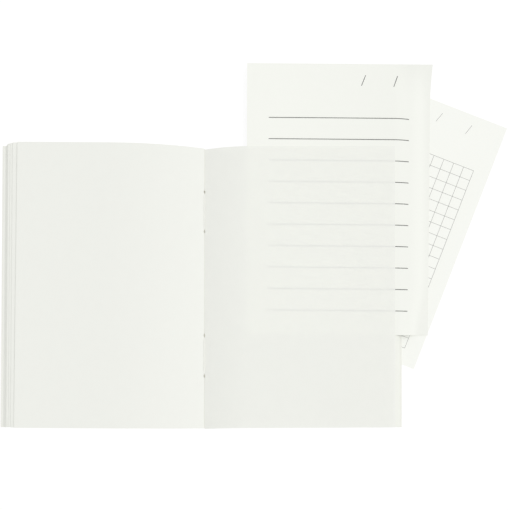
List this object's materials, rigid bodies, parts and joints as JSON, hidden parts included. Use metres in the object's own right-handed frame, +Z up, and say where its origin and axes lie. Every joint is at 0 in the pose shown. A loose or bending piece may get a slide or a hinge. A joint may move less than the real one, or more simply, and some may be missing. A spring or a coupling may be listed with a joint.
{
  "type": "thread-sewn notebook",
  "caption": "Thread-sewn soft-cover notebook lying open, blank thin-paper pages, a lined guide sheet under its top leaf and a grid one under its cover.",
  "frame": {"origin": "on the table under the gutter, halfway between the head and the tail of the page, at the underside of the spine cloth", "axes": "+X to the right-hand page, +Y to the head of the page, +Z up from the table"},
  "size_m": [0.2693, 0.194, 0.0073],
  "materials": {
    "page_paper": "matte",
    "cover_card": "matte",
    "guide_paper": "matte",
    "spine_cloth": "matte",
    "glue": "satin",
    "thread": "matte"
  },
  "bodies": {
    "spine": {"spine_cloth": "spine_cloth", "spine_glue": "glue", "link_stitch_1": "thread", "link_stitch_2": "thread", "link_stitch_3": "thread", "link_stitch_4": "thread", "centre_stitch_head": "thread", "centre_stitch_tail": "thread"},
    "front_cover": {"front_cover": "cover_card", "front_endpaper": "page_paper", "front_cloth_lap": "spine_cloth"},
    "signature_01": {"signature_01": "page_paper", "signature_01_back": "page_paper"},
    "signature_02": {"signature_02": "page_paper", "signature_02_back": "page_paper"},
    "signature_03": {"signature_03": "page_paper", "signature_03_back": "page_paper"},
    "signature_04": {"signature_04": "page_paper", "signature_04_back": "page_paper"},
    "signature_05": {"signature_05": "page_paper", "signature_05_back": "page_paper"},
    "signature_06": {"signature_06": "page_paper", "signature_06_back": "page_paper"},
    "signature_07": {"signature_07": "page_paper", "signature_07_back": "page_paper"},
    "left_leaves": {"left_leaf_2": "page_paper", "left_leaf_3": "page_paper", "left_leaf_4": "page_paper"},
    "left_leaf_1": {"left_leaf_1": "page_paper"},
    "back_cover": {"back_cover": "cover_card", "back_endpaper": "page_paper", "back_cloth_lap": "spine_cloth"},
    "signature_11": {"signature_11": "page_paper", "signature_11_back": "page_paper"},
    "signature_10": {"signature_10": "page_paper", "signature_10_back": "page_paper"},
    "signature_09": {"signature_09": "page_paper", "signature_09_back": "page_paper"},
    "right_leaves": {"right_leaf_2": "page_paper", "right_leaf_3": "page_paper", "right_leaf_4": "page_paper"},
    "right_leaf_1": {"right_leaf_1": "page_paper"},
    "lined_guide_sheet": {"lined_guide_sheet": "guide_paper"},
    "grid_guide_sheet": {"grid_guide_sheet": "guide_paper"}
  },
  "joints": [
    {"name": "front_cover_fold", "type": "hinge", "parent": "spine", "child": "front_cover", "pos_m": [-0.00702, 0, 0.00044], "axis": [0, 1, 0], "range_deg": [0, 90]},
    {"name": "signature_01_fold", "type": "hinge", "parent": "spine", "child": "signature_01", "pos_m": [-0.00639, 0, 0.00106], "axis": [0, 1, 0], "range_deg": [0, 90], "deforming": ["signature_01_back"]},
    {"name": "signature_02_fold", "type": "hinge", "parent": "spine", "child": "signature_02", "pos_m": [-0.00597, 0, 0.00149], "axis": [0, 1, 0], "range_deg": [0, 90], "deforming": ["signature_02_back"]},
    {"name": "signature_03_fold", "type": "hinge", "parent": "spine", "child": "signature_03", "pos_m": [-0.00554, 0, 0.00192], "axis": [0, 1, 0], "range_deg": [0, 90], "deforming": ["signature_03_back"]},
    {"name": "signature_04_fold", "type": "hinge", "parent": "spine", "child": "signature_04", "pos_m": [-0.00512, 0, 0.00234], "axis": [0, 1, 0], "range_deg": [0, 90], "deforming": ["signature_04_back"]},
    {"name": "signature_05_fold", "type": "hinge", "parent": "spine", "child": "signature_05", "pos_m": [-0.0047, 0, 0.00277], "axis": [0, 1, 0], "range_deg": [0, 90], "deforming": ["signature_05_back"]},
    {"name": "signature_06_fold", "type": "hinge", "parent": "spine", "child": "signature_06", "pos_m": [-0.00427, 0, 0.00319], "axis": [0, 1, 0], "range_deg": [0, 90], "deforming": ["signature_06_back"]},
    {"name": "signature_07_fold", "type": "hinge", "parent": "spine", "child": "signature_07", "pos_m": [-0.00384, 0, 0.00362], "axis": [0, 1, 0], "range_deg": [0, 90], "deforming": ["signature_07_back"]},
    {"name": "left_leaves_fold", "type": "hinge", "parent": "spine", "child": "left_leaves", "pos_m": [-0.00335, 0, 0.00411], "axis": [0, 1, 0], "range_deg": [0, 90], "deforming": ["left_leaf_2", "left_leaf_3", "left_leaf_4"]},
    {"name": "left_leaf_1_turn", "type": "hinge", "parent": "left_leaves", "child": "left_leaf_1", "pos_m": [0.0001, 0, 0.00152], "axis": [0, -1, 0], "range_deg": [-150, 0], "deforming": ["left_leaf_1"]},
    {"name": "back_cover_fold", "type": "hinge", "parent": "spine", "child": "back_cover", "pos_m": [0.00376, 0, 0.00044], "axis": [0, -1, 0], "range_deg": [0, 90]},
    {"name": "signature_11_fold", "type": "hinge", "parent": "spine", "child": "signature_11", "pos_m": [0.00314, 0, 0.00106], "axis": [0, -1, 0], "range_deg": [0, 90], "deforming": ["signature_11_back"]},
    {"name": "signature_10_fold", "type": "hinge", "parent": "spine", "child": "signature_10", "pos_m": [0.00271, 0, 0.00149], "axis": [0, -1, 0], "range_deg": [0, 90], "deforming": ["signature_10_back"]},
    {"name": "signature_09_fold", "type": "hinge", "parent": "spine", "child": "signature_09", "pos_m": [0.00229, 0, 0.00192], "axis": [0, -1, 0], "range_deg": [0, 90], "deforming": ["signature_09_back"]},
    {"name": "right_leaves_fold", "type": "hinge", "parent": "spine", "child": "right_leaves", "pos_m": [0.00172, 0, 0.00248], "axis": [0, -1, 0], "range_deg": [0, 90], "deforming": ["right_leaf_2", "right_leaf_3", "right_leaf_4"]},
    {"name": "right_leaf_1_turn", "type": "hinge", "parent": "right_leaves", "child": "right_leaf_1", "pos_m": [-0.0001, 0, 0.00152], "axis": [0, 1, 0], "range_deg": [-150, 0], "deforming": ["right_leaf_1"]},
    {"name": "lined_sheet_slide", "type": "slide", "parent": "right_leaves", "child": "lined_guide_sheet", "axis": [-0.0087, -1, 0], "range_m": [-0.11, 0]},
    {"name": "grid_sheet_slide", "type": "slide", "parent": "spine", "child": "grid_guide_sheet", "axis": [-0.9307, 0.3657, 0], "range_m": [-0.09, 0]}
  ],
  "couplings": [
    {"joint": "signature_01_fold", "follows": "front_cover_fold", "ratio": 1},
    {"joint": "signature_02_fold", "follows": "front_cover_fold", "ratio": 1},
    {"joint": "signature_03_fold", "follows": "front_cover_fold", "ratio": 1},
    {"joint": "signature_04_fold", "follows": "front_cover_fold", "ratio": 1},
    {"joint": "signature_05_fold", "follows": "front_cover_fold", "ratio": 1},
    {"joint": "signature_06_fold", "follows": "front_cover_fold", "ratio": 1},
    {"joint": "signature_07_fold", "follows": "front_cover_fold", "ratio": 1},
    {"joint": "left_leaves_fold", "follows": "front_cover_fold", "ratio": 1},
    {"joint": "signature_11_fold", "follows": "back_cover_fold", "ratio": 1},
    {"joint": "signature_10_fold", "follows": "back_cover_fold", "ratio": 1},
    {"joint": "signature_09_fold", "follows": "back_cover_fold", "ratio": 1},
    {"joint": "right_leaves_fold", "follows": "back_cover_fold", "ratio": 1}
  ]
}
